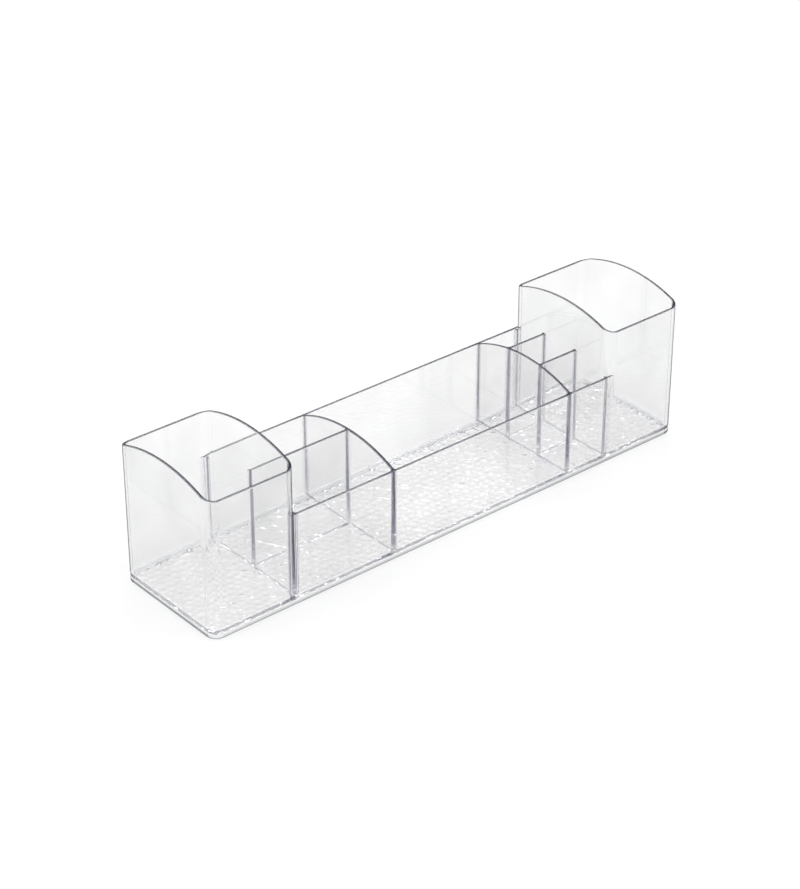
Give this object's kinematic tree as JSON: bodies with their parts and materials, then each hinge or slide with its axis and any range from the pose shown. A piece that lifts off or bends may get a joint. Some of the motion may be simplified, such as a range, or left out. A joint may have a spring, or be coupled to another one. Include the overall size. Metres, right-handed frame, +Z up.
{
  "type": "vanity organizer",
  "caption": "Clear moulded vanity organizer: a long tray with a tall open bin at each end, arched rims, cross dividers and narrow slots between low walls.",
  "frame": {"origin": "on the resting plane, midway along the length and midway across the depth", "axes": "+X along the length towards the bin beside the narrow slots, +Y across the depth towards the rear, +Z up"},
  "size_m": [0.381, 0.09, 0.1042],
  "materials": {
    "clear_plastic": "clear moulded polystyrene, glossy"
  },
  "bodies": {
    "root": {"foot_rim": "clear_plastic", "floor_panel": "clear_plastic", "left_bin": "clear_plastic", "right_bin": "clear_plastic", "rear_wall": "clear_plastic", "front_wall": "clear_plastic", "left_cross_divider": "clear_plastic", "right_cross_divider": "clear_plastic", "left_long_divider": "clear_plastic", "right_rear_divider": "clear_plastic", "right_front_divider": "clear_plastic"}
  },
  "joints": []
}
